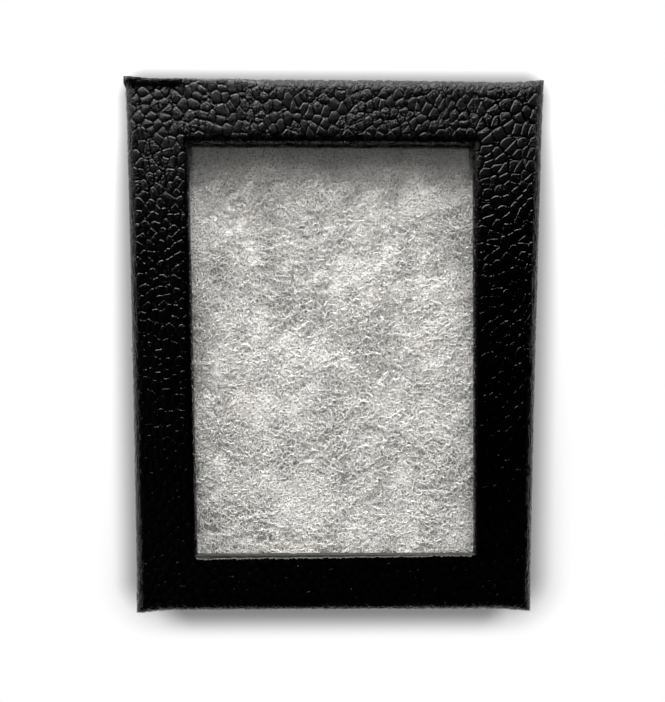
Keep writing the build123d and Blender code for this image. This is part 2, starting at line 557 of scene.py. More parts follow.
def on_outline(middle, way, edge):
    """Whether an edge is one of the sheet's outer edges."""
    return edge.is_boundary and not inside_outline(middle)


def on_window(middle, way, edge):
    """Whether an edge is one of the window's three edges that have a flap."""
    level = middle.z > case_top - hair
    flap_side = middle.y > window_root[2] + hair
    return edge.is_boundary and inside_outline(middle) and level and flap_side


edit(lid_wrap)
pick_edges(lid_wrap, on_outline)
extrude_along(lid_path, sheet_half, (0, 0, case_top))
bpy.ops.mesh.select_all(action="DESELECT")
pick_edges(lid_wrap, on_window)
extrude_along(window_path, window_span, (0, window_root[2], case_top), toward=-1)
face_outwards()
print("folded sheet:", len(lid_wrap.data.polygons), "faces")

# %% [markdown]
# ## A map of the paper
# The grain was embossed on the flat paper, so it follows the paper round each fold. A UV map
# named `paper` holds each corner's place on the flat paper in millimetres. On a flap, one
# coordinate is the length along the fold's path, found from the nearest point of the path.


# %% A map of the paper
def length_along(path, out, down):
    """How far along a path, in mm, the points (out, down) lie. All are in millimetres."""
    steps = np.array(path) / mm
    gap = np.hypot(out[:, None] - steps[:, 0], down[:, None] - steps[:, 1])
    return steps[np.argmin(gap, axis=1), 2]


def map_paper(piece, flaps, cut_from=(0, 0)):
    """Write the UV map of a folded sheet that was cut from a place on the roll of paper.

    Each flap is (test, axis, side, root, path, toward, top, sense). The test says of a face's
    middle whether the face is on the flap.
    """
    mesh = piece.data
    points = points_of(piece)
    corner_vertex = np.empty(len(mesh.loops), dtype=int)
    mesh.loops.foreach_get("vertex_index", corner_vertex)
    sizes = np.array([polygon.loop_total for polygon in mesh.polygons])
    starts = np.array([polygon.loop_start for polygon in mesh.polygons])
    middles = np.add.reduceat(points[corner_vertex], starts) / sizes[:, None]
    corner_face = np.repeat(np.arange(len(sizes)), sizes)
    corners = points[corner_vertex]
    flat = corners[:, :2].copy()
    for test, axis, side, root, path, toward, top, sense in flaps:
        mine = test(middles)[corner_face]
        out = toward * (side * corners[mine, axis] - root)
        down = sense * (top - corners[mine, 2])
        flat[mine, axis] = side * (root + toward * length_along(path, out, down))
    layer = mesh.uv_layers.new(name="paper")
    layer.data.foreach_set("uv", (flat + cut_from).ravel())


deepest_turn_in = 2.5


def sides(half, path, top, sense):
    """The four flaps of a sheet's outer edges, whose ends lie a little inside its outline."""
    half_x, half_y = (value / mm for value in half)

    def side_test(axis, side):
        def test(middle):
            beyond_x = np.abs(middle[:, 0]) - half_x
            beyond_y = np.abs(middle[:, 1]) - half_y
            steeper = beyond_x > beyond_y if axis == 0 else beyond_y > beyond_x
            mine = np.where(axis == 0, beyond_x, beyond_y)
            off_sheet = np.abs(top / mm - middle[:, 2]) > hair / mm
            outer = np.maximum(beyond_x, beyond_y) > -deepest_turn_in
            return steeper & (side * middle[:, axis] > 0) & outer & (off_sheet | (mine > 0))

        return test

    return [
        (side_test(axis, side), axis, side, (half_x, half_y)[axis], path, 1, top / mm, sense)
        for axis in (0, 1)
        for side in (-1, 1)
    ]


def window_flaps():
    """The three flaps that are folded in round the lid's window."""
    right, low, high = (value / mm for value in window_root[1:])
    top = case_top / mm
    flap_room = window_turn_in / mm + 1

    def window_test(axis, side):
        def test(middle):
            under = top - middle[:, 2] > hair / mm
            near_window = np.abs(middle[:, 0]) < right + flap_room
            near_window &= (middle[:, 1] < high + flap_room) & (middle[:, 1] > low - 1)
            from_side = right - np.abs(middle[:, 0])
            from_far = high - middle[:, 1]
            mine = from_side < from_far if axis == 0 else from_far <= from_side
            return under & near_window & mine & (side * middle[:, axis] > 0)

        return test

    return [
        (window_test(axis, side), axis, side, root, window_path, -1, top, 1)
        for axis, side, root in ((0, -1, right), (0, 1, right), (1, 1, high))
    ]


map_paper(lid_wrap, sides(sheet_half, lid_path, case_top, 1) + window_flaps())
flat_paper = np.empty(len(lid_wrap.data.loops) * 2)
lid_wrap.data.uv_layers["paper"].data.foreach_get("uv", flat_paper)
print("flat paper, mm:", np.ptp(flat_paper.reshape(-1, 2), axis=0).round(1))

# %% [markdown]
# ## Worn and worked by hand
# No two of these cases are alike. The side walls bow in a little between the corners and the
# far wall bows out, and the corners stand out as ears where the paper is bunched. Both of the
# window's side folds were glued askew, and the near side's knife cut is ragged, with the
# paper's pale core showing.


# %% A ragged line
def ragged(along, knot_gap, size, seed):
    """A wandering line: random heights at knots along it, joined smoothly."""
    draw = np.random.default_rng(seed)
    knots = np.arange(-150, 150, knot_gap)
    heights = draw.uniform(-size, size, len(knots))
    before = np.clip(np.searchsorted(knots, along) - 1, 0, len(knots) - 2)
    share = smooth_step(along, knots[before], knots[before + 1])
    return heights[before] * (1 - share) + heights[before + 1] * share


# %% Bowed walls, ears and seams
corner_reach = 9
seam_from_corner = 10.5
seam_slant = 0.18
seam_waver = 0.12
seam_width = 0.35
flap_stands_out = 0.12


def bow_and_ears(points, half, bows, ears, top, sense):
    """Bow a box's walls in by bows (sides, near, far) and draw the corners out by ears (x, y).

    The side walls' flaps turn the corners and lie over the near and far walls, under a seam.
    """
    x, y = points[:, 0], points[:, 1]
    half_x, half_y = half[0] / mm, half[1] / mm
    wall_x = smooth_step(np.abs(x), half_x - corner_reach, half_x)
    wall_y = smooth_step(np.abs(y), half_y - corner_reach, half_y)
    bow_x = bows[0] * (1 - (y / half_y) ** 2) * wall_x
    bow_y = np.where(y < 0, bows[1], bows[2]) * (1 - (x / half_x) ** 2) * wall_y
    corner = wall_x * wall_y
    below = sense * (top / mm - points[:, 2])
    seam = half_x - seam_from_corner + seam_slant * below + ragged(below, 1.1, seam_waver, 33)
    flap = smooth_step(np.abs(x), seam, seam + seam_width) * smooth_step(below, 1.5, 3.5)
    on_wall = np.abs(np.abs(y) - half_y) < 0.01
    points[:, 0] -= np.sign(x) * (bow_x - ears[0] * corner)
    points[:, 1] -= np.sign(y) * (bow_y - ears[1] * corner**2 - flap_stands_out * flap * on_wall)
    return points


# %% The creased fold
crease_sharpness = 6
creased_past = (13, 20)
lip_past = (27, 31)
lip_height = 0.4
lip_inward = 2.4


def creased_fold(points, half_y, fold):
    """The far fold was creased sharp along its left part, and pressed up into a lip at the end.

    On the fold's round, a point's distances outward and up, as shares of the radius, are the
    sides of a quarter circle. The crease pushes the point out to a squarer curve.
    """
    x, y, z = points.T
    outward = (y - half_y) / fold + 1
    upward = (z - case_top / mm) / fold + 1
    on_round = (outward > 0) & (upward > 0) & (y > 0)
    reach = np.clip(outward, 0, 1) ** crease_sharpness + np.clip(upward, 0, 1) ** crease_sharpness
    push = np.where(on_round, reach.clip(1e-6, None) ** (-1 / crease_sharpness), 1) - 1
    push *= smooth_step(-x, *creased_past)
    lip = lip_height * smooth_step(-x, *lip_past)
    lip *= smooth_step(y, half_y - lip_inward, half_y + 0.1)
    points[:, 1] += outward * push * fold
    points[:, 2] += upward * push * fold + lip
    return points


# %% The knife cut
cut_reach = 6
cut_askew = (0.62, 0.05)
full_setback_from = (0.6, 1.5)
far_from_cut = 9.0


def knife_cut(points, edge, half_width):
    """Set the window's raw edge back by a ragged amount. Returns each point's distance from it."""
    x, y = points[:, 0], points[:, 1]
    behind = edge - y
    in_reach = (behind > -0.01) & (behind < cut_reach) & (np.abs(x) < half_width + 0.01)
    on_panel = in_reach & (points[:, 2] > case_top / mm - 0.01)
    askew = np.interp(x, (-half_width, half_width), cut_askew)
    setback = askew + ragged(x, 1.7, 0.08, 31) + ragged(x, 0.7, 0.10, 32)
    setback *= smooth_step(half_width - np.abs(x), *full_setback_from)
    points[:, 1] -= np.where(on_panel, setback * (1 - behind / cut_reach).clip(0, 1), 0)
    return np.where(on_panel, behind * (1 - setback / cut_reach), far_from_cut)


# %% The lid's wrap, worn
edge_pressed_by = 0.10
edge_pressed_over = 0.45
lid_bows, lid_ears = (0.14, 0.0, -0.26), (0.10, 0.50)
points = points_of(lid_wrap)
from_cut = knife_cut(points, -window_half[1] / mm, window_root[1] / mm)
points[:, 2] -= edge_pressed_by * (1 - smooth_step(from_cut, 0.0, edge_pressed_over))
points = creased_fold(points, case_half.y / mm, lid_fold / mm)
points = bow_and_ears(points, case_half, lid_bows, lid_ears, case_top, 1)

# %% Folds glued askew
askew_from = (20, 26)
askew_fades = (30.2, 37)
right_askew_far, right_askew_most = 1.65, 1.8
left_askew_near, left_askew_most = 0.62, 0.7
up_window = (points[:, 1] / (window_half[1] / mm) + 1) / 2


def by_fold(side):
    """1 by one of the window's side folds, fading out over the rail."""
    reach = side * points[:, 0]
    return smooth_step(reach, *askew_from) * (1 - smooth_step(reach, *askew_fades))


right_askew = np.clip(right_askew_far * up_window, 0, right_askew_most) * by_fold(1)
left_askew = np.clip(left_askew_near * (1 - up_window), 0, left_askew_most) * by_fold(-1)
askew = np.outer(right_askew - left_askew, (1, 0, 0))
move_points(lid_wrap, points - askew)
print("folds glued askew by mm:", askew[:, 0].min().round(2), askew[:, 0].max().round(2))

# %% [markdown]
# ## The pebbled grain
# The paper was pressed between engraved rollers that copy the look of leather: pebbles 1.5 to
# 4 mm across with narrow valleys between them, and finer creases here and there. The distance
# to a Voronoi cell's edge gives such pebbles, and the distance from the cell's middle rounds
# off their corners. Most of them stand on a corner like a diamond, so the grid that the cells
# grow from is turned by 45 degrees, and they stray from it a little less than they could.
# Small crumbs fill what is left at the corners. The cells are first pulled about by
# noise, widely for the way that the pebbles lean and stretch from place to place, and closely
# for their wavy outlines. On the right half of the far rail they are sheared as well, because
# the pebbles there lean to one side. One function builds the pattern, so that the same pattern
# shapes the mesh, in a modifier, and tells the finish where the valleys are, in a material.

# %% The pebbled grain
pebble_size = 1.7
pebble_uneven = 0.85
pebble_gap = 0.045
pebble_round = 0.68
pebble_stretch = 0.80
pebble_lean = 0.2
lean_from = (-12, 26)
lean_past = 34
unmoved_at = 46
dome_share = 0.07
crumb_size = 0.75
crumb_height = 0.55
crease_depth = 0.34
wide_pull = (14, 1.6, 1)
close_pull = (1.5, 0.42, 2)
crumb_pull = (0.9, 0.5, 2)


def pulled_about(tree, place, size, amount, detail):
    """A place on the paper pushed aside by noise, in mm."""
    shift = noise(tree, place, 1 / size, detail, "Color", flat=True)
    inputs = {0: shift, 1: (amount, amount, 0), 2: place}
    return add(tree, "ShaderNodeVectorMath", inputs, operation="MULTIPLY_ADD").outputs[0]


def cells(tree, place, size, feature="DISTANCE_TO_EDGE", uneven=1.0):
    """Distance to the edge of the nearest cell, or to its middle, as a share of the size."""
    inputs = {"Vector": place, "Scale": 1 / size, "Randomness": uneven}
    settings = {"feature": feature, "voronoi_dimensions": "2D"}
    return add(tree, "ShaderNodeTexVoronoi", inputs, **settings).outputs["Distance"]


def pebble_group(kind):
    """The grain's height, from 0 in a valley to 1 on a pebble, and how deep in a valley it is."""
    scalar = "NodeSocketFloat"
    group, start, end = new_group(
        "Pebble grain",
        kind,
        {"Paper": "NodeSocketVector", "Bank": scalar},
        {"Height": scalar, "Valley": scalar},
    )
    place, bank_width = start.outputs["Paper"], start.outputs["Bank"]
    across, along, _ = add(group, "ShaderNodeSeparateXYZ", {0: place}).outputs
    lean = remap(group, across, *lean_from, 0.0, -pebble_lean)
    far_part = maths(group, "SUBTRACT", maths(group, "MAXIMUM", along, lean_past), unmoved_at)
    slid = maths(group, "MULTIPLY_ADD", far_part, lean, across)
    longer = maths(group, "MULTIPLY", along, pebble_stretch)
    turned = add(group, "ShaderNodeCombineXYZ", {"X": slid, "Y": longer}).outputs[0]
    leaning = pulled_about(group, turned, *wide_pull)
    wavy = pulled_about(group, leaning, *close_pull)
    on_corner = {"Vector": wavy, "Angle": math.radians(45)}
    wavy = add(group, "ShaderNodeVectorRotate", on_corner, rotation_type="Z_AXIS").outputs[0]
    from_middle = cells(group, wavy, pebble_size, "F1", pebble_uneven)
    from_rim = maths(group, "SUBTRACT", pebble_round, from_middle)
    edge = cells(group, wavy, pebble_size, uneven=pebble_uneven)
    edge = maths(group, "SMOOTH_MIN", edge, from_rim, 0.08)
    bank = remap(group, edge, pebble_gap, bank_width)
    dome = remap(group, edge, 0.0, 0.5)
    crumb_edge = cells(group, pulled_about(group, leaning, *crumb_pull), crumb_size)
    between = remap(group, from_middle, pebble_round + 0.03, pebble_round + 0.10)
    crumb = remap(group, crumb_edge, 0.03, 0.22, 0.0, crumb_height)
    crumbs = maths(group, "MULTIPLY", between, crumb)
    creased_here = remap(group, noise(group, place, 0.16, 1, flat=True), 0.45, 0.62, 0.0, 1.0)
    crease = remap(group, crumb_edge, 0.0, bank_width, 1.0, 0.0)
    creased = maths(group, "MULTIPLY", crease, creased_here)
    domed = maths(group, "MULTIPLY", dome, dome_share)
    high = maths(group, "MULTIPLY_ADD", bank, 1 - dome_share, domed)
    high = maths(group, "MAXIMUM", high, crumbs)
    height = maths(group, "MULTIPLY_ADD", creased, -crease_depth, high)
    height.node.use_clamp = True
    group.links.new(height, end.inputs["Height"])
    valley = maths(group, "MAXIMUM", maths(group, "SUBTRACT", 1.0, bank), creased)
    group.links.new(valley, end.inputs["Valley"])
    return group


# %% Embossing
bank_in_mesh = 0.19


def shaping_group(name):
    """A node group for a modifier, which takes a mesh and gives one back."""
    mesh = {"Geometry": "NodeSocketGeometry"}
    return new_group(name, "GeometryNodeTree", mesh, mesh)


def shape_with(piece, group):
    """Run a node group on a piece and keep what it makes."""
    piece.modifiers.new(group.name, "NODES").node_group = group
    apply_modifiers(piece)


def emboss(piece, depth, level):
    """Give a wrapped piece the grain's relief, where its `relief` allows.

    level is the height, as a share of the grain's depth, that stays where it was.
    """
    group, start, end = shaping_group("Emboss")
    kind = "GeometryNodeInputNamedAttribute"
    paper_map = add(group, kind, {"Name": "paper"}, data_type="FLOAT_VECTOR")
    relief = add(group, kind, {"Name": "relief"})
    glued = add(group, kind, {"Name": "glue"})
    pattern = pebble_group("GeometryNodeTree")
    inputs = {"Paper": paper_map.outputs["Attribute"], "Bank": bank_in_mesh}
    grain = add(group, "GeometryNodeGroup", inputs, node_tree=pattern)
    shown = maths(group, "SUBTRACT", 1.0, glued.outputs["Attribute"])
    shown = maths(group, "MULTIPLY", shown, relief.outputs["Attribute"])
    lift = maths(group, "SUBTRACT", grain.outputs["Height"], level)
    lift = maths(group, "MULTIPLY", maths(group, "MULTIPLY", lift, shown), depth)
    normal = add(group, "GeometryNodeInputNormal").outputs[0]
    offset = add(group, "ShaderNodeVectorMath", {0: normal, "Scale": lift}, operation="SCALE")
    inputs = {"Geometry": start.outputs["Geometry"], "Offset": offset.outputs[0]}
    moved = add(group, "GeometryNodeSetPosition", inputs)
    group.links.new(moved.outputs[0], end.inputs["Geometry"])
    shape_with(piece, group)
    heights = points_of(piece)[:, 2]
    print(piece.name, "embossed, highest at mm", heights.max().round(3))


# %% [markdown]
# ## From sheet to paper
# The folded sheet gets its thickness from Solidify, which names the glued side with a vertex
# group. The glued side is flat and out of sight, so a Decimate that only that group feels thins
# it out, and the faces are spent on the grain. The grain was pressed flat where the paper was
# pulled tightest, along the folds and into the corners. It is quieter everywhere but at the
# lid's far end, stays crisp along the creased fold, and is rubbed away on that fold's lip.

# %% How much of the grain is left
pressed_flat = 0.6


def beyond_flat(points, half, fold):
    """How far past the start of a wrapped box's folds its points lie, in X and in Y."""
    return [np.abs(points[:, axis]) - (half[axis] - fold) / mm for axis in (0, 1)]


def flattened(points, half, fold):
    """How much of the relief is left at each point of a wrapped box, from 0 to 1."""
    beyond_x, beyond_y = beyond_flat(points, half, fold)
    outward = np.maximum(beyond_x, beyond_y) / (fold / mm)
    tight = pressed_flat * smooth_step(outward, -0.2, 0.25)
    tight *= 1 - smooth_step(outward, 0.9, 1.0)
    mitre = 1 - smooth_step(np.abs(beyond_x - beyond_y), 0.3, 1.6)
    mitre *= smooth_step(np.minimum(beyond_x, beyond_y), -1.0, 0.3)
    return (1 - tight) * (1 - mitre)


def flat_near_window(points):
    """How much of the relief the window's folds leave."""
    past_x = np.abs(points[:, 0]) - window_root[1] / mm + 0.8
    past_y = points[:, 1] - window_root[3] / mm
    return smooth_step(np.maximum(past_x, past_y), -0.2, 1.3)


def folds(points, half, fold):
    """Where a wrapped box's folds run along Y, and where they run along X."""
    beyond_x, beyond_y = (past / (fold / mm) for past in beyond_flat(points, half, fold))
    top_only = smooth_step(points[:, 2], case_top / mm - 2.5, case_top / mm - 1.0)
    along_y = smooth_step(beyond_x, -0.3, 0.3) * (beyond_x > beyond_y) * top_only
    inward = np.where(points[:, 1] > 0, -0.9, -0.3)
    along_x = smooth_step(beyond_y, inward, 0.3) * (beyond_y >= beyond_x) * top_only
    return along_y, along_x


# %% The paper's thickness
def thicken(piece, thickness, keep):
    """Give a folded sheet its thickness, with the glued side thinned out.

    keep is the share of all faces that stays. Half of them are the face's own, so a share
    near 0.5 leaves the glued side too few to keep its shape.
    """
    piece.vertex_groups.new(name="glue")
    solid = piece.modifiers.new("thickness", "SOLIDIFY")
    solid.thickness = thickness
    solid.offset = -1
    solid.use_even_offset = True
    solid.thickness_clamp = 0.9
    solid.shell_vertex_group = "glue"
    solid.material_offset = 1
    solid.material_offset_rim = 1
    thin = piece.modifiers.new("thin_out", "DECIMATE")
    thin.ratio = keep
    thin.vertex_group = "glue"
    apply_modifiers(piece)
    print(piece.name, "thickened:", len(piece.data.polygons), "faces")


def store(piece, name, values):
    """Keep a value for each vertex as an attribute."""
    layer = piece.data.attributes.new(name, "FLOAT", "POINT")
    layer.data.foreach_set("value", np.asarray(values, dtype=np.float32))


# %% The lid's relief
quieter = 0.22
quieter_until = (20, 42)
cut_side_half = 31
crisp_relief = 0.9
lip_rubbed_past = (29, 31)
lip_rubbed = 0.8

lid_points = points_of(lid_wrap)
x, y, _ = lid_points.T
relief = flattened(lid_points, case_half, lid_fold)
relief *= (1 - quieter) + quieter * smooth_step(y, *quieter_until)
cut_side = (y < window_root[2] / mm) & (np.abs(x) < cut_side_half)
by_window = flat_near_window(lid_points + askew)
relief *= np.where(cut_side, smooth_step(from_cut, 0.2, 1.2), by_window)
on_far_fold = smooth_step(y, case_half.y / mm - 2.2, case_half.y / mm - 1.6)
creased_part = on_far_fold * smooth_step(-x, *creased_past)
lip_part = smooth_step(-x, *lip_rubbed_past)
relief += (crisp_relief - relief) * creased_part * (1 - lip_part)
relief *= 1 - lip_rubbed * creased_part * lip_part
store(lid_wrap, "relief", relief)
store(lid_wrap, "burnished", creased_part * lip_part)

# %% The lid's wear
worn_past = (-17, -13)
far_fold_least = 0.2
near_fold_share = 0.5
cut_ends = (28.6, 29.2)
torn_over = 0.7

along_y, along_x = folds(lid_points, case_half, lid_fold)
far_share = far_fold_least + (1 - far_fold_least) * smooth_step(x, *worn_past)
along_x *= np.where(y > 0, far_share, near_fold_share)
store(lid_wrap, "fold_along_y", along_y)
store(lid_wrap, "fold_along_x", along_x)
past_cut = smooth_step(np.abs(x), *cut_ends)
store(lid_wrap, "torn", (1 - smooth_step(from_cut, 0.0, torn_over)) * (1 - past_cut))

# %% The lid's paper
lid_keep = 0.56
lid_grain_depth = 0.13 * mm
thicken(lid_wrap, paper, lid_keep)
emboss(lid_wrap, lid_grain_depth, 0.65)

# %% [markdown]
# ## Finishes: shared effects
# Three effects turn up in most of the case's finishes, so each is a node group that is built
# once. Fine grain is the tiny wrinkling on top of the pebbles. Board fibres are the flecks of
# pulp in card and chipboard. Dust is what settles on every surface that faces up.

# %% Finishes: shared effects
vector_in = {"Place": "NodeSocketVector", "Scale": "NodeSocketFloat"}
value_out = {"Value": "NodeSocketFloat"}


def fine_grain_group():
    """Tiny wrinkles. Scale is in wrinkles per unit of the place."""
    group, start, end = new_group("Fine grain", "ShaderNodeTree", vector_in, value_out)
    place, scale = start.outputs["Place"], start.outputs["Scale"]
    coarse = noise(group, place, scale, 4)
    ridged = maths(group, "ABSOLUTE", maths(group, "SUBTRACT", coarse, 0.5))
    wrinkles = remap(group, ridged, 0.0, 0.12)
    group.links.new(wrinkles, end.inputs["Value"])
    return group


def fibre_group():
    """Flecks and short fibres of pulp."""
    group, start, end = new_group("Board fibres", "ShaderNodeTree", vector_in, value_out)
    place, scale = start.outputs["Place"], start.outputs["Scale"]
    stretch = add(group, "ShaderNodeMapping", {"Vector": place, "Scale": (1, 0.25, 1)})
    turned = {"Vector": place, "Rotation": (0, 0, 1.1), "Scale": (0.25, 1, 1)}
    across = add(group, "ShaderNodeMapping", turned)
    first = noise(group, stretch.outputs[0], scale, 3)
    second = noise(group, across.outputs[0], scale, 3)
    flecks = remap(group, maths(group, "MAXIMUM", first, second), 0.45, 0.75)
    group.links.new(flecks, end.inputs["Value"])
    return group


def dust_group():
    """Specks and a faint film of dust."""
    group, start, end = new_group("Dust", "ShaderNodeTree", vector_in, value_out)
    place, scale = start.outputs["Place"], start.outputs["Scale"]
    inputs = {"Vector": place, "Scale": scale, "Randomness": 1.0}
    speck = add(group, "ShaderNodeTexVoronoi", inputs).outputs["Distance"]
    near = remap(group, speck, 0.05, 0.10, 1.0, 0.0)
    patchy = remap(group, noise(group, place, 90.0, 3), 0.5, 0.72)
    group.links.new(maths(group, "MULTIPLY", near, patchy), end.inputs["Value"])
    return group


fine_grain = fine_grain_group()
board_fibres = fibre_group()
dust = dust_group()
pebbles = pebble_group("ShaderNodeTree")


def effect(tree, group, **inputs):
    """A placed group's first output."""
    return add(tree, "ShaderNodeGroup", inputs, node_tree=group).outputs[0]


def new_finish(name, **settings):
    """A material with a Principled shader. Returns the material, its tree and the shader."""
    finish = bpy.data.materials.new(name)
    finish.use_nodes = True
    tree = finish.node_tree
    shader = tree.nodes["Principled BSDF"]
    for socket, value in settings.items():
        shader.inputs[socket.replace("_", " ")].default_value = value
    return finish, tree, shader


def bump(tree, shader, height, distance, strength=1.0):
    """Bump a shader's normal by a height, where a height of 1 stands a distance proud."""
    inputs = {"Height": height, "Distance": distance, "Strength": strength}
    tree.links.new(add(tree, "ShaderNodeBump", inputs).outputs[0], shader.inputs["Normal"])


# %% [markdown]
# ## Black embossed paper
# The paper's face is dyed black under a thin varnish. The varnish is dull on the tops of the
# pebbles and smooth on their banks and in the valleys, where it ran while it was wet. So the
# tops spread the low light thinly, and the banks catch it in crisp lines. Hands have polished
# the case most at the middle of its length. The paper's edge and its back show the pale core,
# and so does the knife cut at the window's near side.

# %% Black embossed paper
bank_in_finish = 0.13
smooth_share = 0.43
handled_over = (16, 44)
handled_share = 0.6
fold_dulls = 0.06
burnish = 0.22
rubbed_grey = 0.05
crease_rub = 0.35
dust_rub = 0.1
crease_stretch = {"fold_along_y": (3.0, 0.35, 1), "fold_along_x": (1.6, 1.1, 1)}


def embossed_black(name, roughness, black):
    """The varnished face of the wrap."""
    finish, tree, shader = new_finish(name, Specular_IOR_Level=0.9)
    place = add(tree, "ShaderNodeUVMap", uv_map="paper").outputs[0]
    inputs = {"Paper": place, "Bank": bank_in_finish}
    grain = add(tree, "ShaderNodeGroup", inputs, node_tree=pebbles).outputs
    creases = []
    for fold, stretch in crease_stretch.items():
        drawn_out = add(tree, "ShaderNodeMapping", {"Vector": place, "Scale": stretch})
        wrinkled = effect(tree, fine_grain, Place=drawn_out.outputs[0], Scale=0.55)
        creases.append(maths(tree, "MULTIPLY", stored(tree, fold), wrinkled))
    crinkled = maths(tree, "MAXIMUM", *creases)

    settled = maths(tree, "MULTIPLY", effect(tree, dust, Place=place, Scale=0.9), dust_rub)
    rubbed = maths(tree, "MULTIPLY_ADD", crinkled, crease_rub, settled)
    colour = blend_colours(tree, rubbed, grey(black), grey(rubbed_grey))
    torn = maths(tree, "MULTIPLY_ADD", noise(tree, place, 2.2, 3), 1.2, stored(tree, "torn"))
    torn = remap(tree, torn, 1.35, 1.45)
    colour = blend_colours(tree, torn, colour, grey(0.5, 0.02))
    tree.links.new(colour, shader.inputs["Base Color"])

    dull = remap(tree, grain["Valley"], 0.0, 0.35, roughness, roughness * smooth_share)
    dull = maths(tree, "MULTIPLY_ADD", stored(tree, "fold_along_x"), fold_dulls, dull)
    from_middle = add(tree, "ShaderNodeSeparateXYZ", {0: place}).outputs["Y"]
    from_middle = maths(tree, "ABSOLUTE", from_middle)
    handled = remap(tree, from_middle, *handled_over, handled_share, 1.0)
    dull = maths(tree, "MULTIPLY", dull, handled)
    dull = maths(tree, "MULTIPLY_ADD", stored(tree, "burnished"), -burnish, dull)
    tree.links.new(maths(tree, "MAXIMUM", dull, torn), shader.inputs["Roughness"])

    rumple = noise(tree, place, 1.2, 2, flat=True)
    pores = noise(tree, place, 3.6, 1, flat=True)
    wrinkles = effect(tree, fine_grain, Place=place, Scale=3.2)
    height = maths(tree, "MULTIPLY_ADD", rumple, 0.2, grain["Height"])
    height = maths(tree, "MULTIPLY", height, stored(tree, "relief"))
    for finer, share in ((pores, 0.6), (wrinkles, 0.12), (crinkled, 1.7)):
        height = maths(tree, "MULTIPLY_ADD", finer, share, height)
    bump(tree, shader, height, 0.085 * mm)
    return finish


def paper_core(name, level):
    """Raw paper: the back of the wrap and its cut edges."""
    finish, tree, shader = new_finish(name, Roughness=0.85)
    place = object_place(tree)
    flecks = effect(tree, board_fibres, Place=place, Scale=3000.0)
    colour = blend_colours(tree, flecks, grey(level, 0.03), grey(level * 0.6, 0.04))
    tree.links.new(colour, shader.inputs["Base Color"])
    bump(tree, shader, flecks, 0.03 * mm)
    return finish


# %% The lid's wrap, finished
smooth_below = math.radians(50)
core = paper_core("paper_core", 0.45)


def finish_wrap(wrap, face):
    """Smooth a wrap, give it its face and its core, and say which lamps light it."""
    only(wrap)
    bpy.ops.object.shade_smooth_by_angle(angle=smooth_below)
    wrap.data.materials.append(face)
    wrap.data.materials.append(core)
    link_light(all_but_gloss, wrap, "EXCLUDE")
    link_light(paper_alone, wrap, "INCLUDE")


finish_wrap(lid_wrap, embossed_black("embossed_black", 0.30, 0.0005))
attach(lid_wrap, "lid")
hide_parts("lid_wrap")

# %% [markdown]
# ## The tray's wrap
# The tray is wrapped the other way up: its paper lies under the floor, folds up the walls,
# over their rims and 7.5 mm down inside. It is thinner paper from another roll, and the same
# steps make it, with a sense of -1 for a flap that folds up.

# %% The tray's wrap
tray_low, tray_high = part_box("tray_wrap")
board_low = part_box("tray_board")[0].z
tray_paper = board_low - tray_low.z
tray_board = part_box("fibre_pad")[0].z - board_low
tray_half = tray_high.xy
tray_fold = 1.2 * mm
tray_turn_in = 7.5 * mm
tray_cell = 0.45 * mm
tray_sheet_half = [half - tray_fold for half in tray_half]
tray_wrap = flat_sheet("tray_wrap_paper", tray_sheet_half, tray_low.z, tray_cell)
wall = tray_board + 2 * tray_paper
tray_path = box_path(tray_fold, tray_high.z, tray_low.z, wall, tray_turn_in, steps=(5, 18, 4))
edit(tray_wrap)
pick_edges(tray_wrap, lambda c, d, edge: edge.is_boundary)
extrude_along(tray_path, tray_sheet_half, (0, 0, 0), sense=-1)
face_outwards()

# %% The tray's paper
other_roll = (140, 60)
tray_bows, tray_ears = (0.08, 0.05, 0.05), (0.08, 0.12)
tray_keep = 0.58
tray_grain_depth = 0.06 * mm
tray_flaps = sides(tray_sheet_half, tray_path, tray_low.z, -1)
map_paper(tray_wrap, tray_flaps, cut_from=other_roll)
tray_points = points_of(tray_wrap)
bow_and_ears(tray_points, tray_half, tray_bows, tray_ears, tray_low.z, -1)
move_points(tray_wrap, tray_points)
store(tray_wrap, "relief", flattened(points_of(tray_wrap), tray_half, tray_fold))
thicken(tray_wrap, tray_paper, tray_keep)
emboss(tray_wrap, tray_grain_depth, 1.0)
finish_wrap(tray_wrap, embossed_black("tray_black", 0.40, 0.0010))
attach(tray_wrap, "tray")
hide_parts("tray_wrap")

# %% [markdown]
# ## Pin holes
# The pins are pushed through holes that were punched through both long walls. A cylinder is
# taken out of each wrap, a little wider than the pins' wire.

# %% Pin holes
pin_height = sum(corner.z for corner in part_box("pin_left")) / 2
hole_radius = 0.6 * mm


def punch(piece):
    """Punch the pins' holes through both long walls of a wrap."""
    nothing_selected()
    bpy.ops.mesh.primitive_cylinder_add(
        vertices=20,
        radius=hole_radius,
        depth=2 * case_half.x + 10 * mm,
        location=(0, 0, pin_height),
        rotation=(0, math.pi / 2, 0),
    )
    awl = bpy.context.object
    bpy.ops.object.transform_apply(location=True, rotation=True, scale=True)
    holes = piece.modifiers.new("pin_holes", "BOOLEAN")
    holes.operation = "DIFFERENCE"
    holes.object = awl
    apply_modifiers(piece)
    bpy.data.objects.remove(awl)
    triangles = sum(len(face.vertices) - 2 for face in piece.data.polygons)
    print(piece.name, "punched:", triangles, "triangles")


punch(lid_wrap)
punch(tray_wrap)

# %% [markdown]
# ## The fibre pad
# The pad is crimped polyester batting: a soft block with thousands of curly fibres, pressed
# flat against the glass. Its body is a rounded, lumpy block, evened out by a voxel remesh so
# that the lumps can be moved into it. A cloth simulation has nothing to add, because the pad
# has no cover and the glass holds it flat.

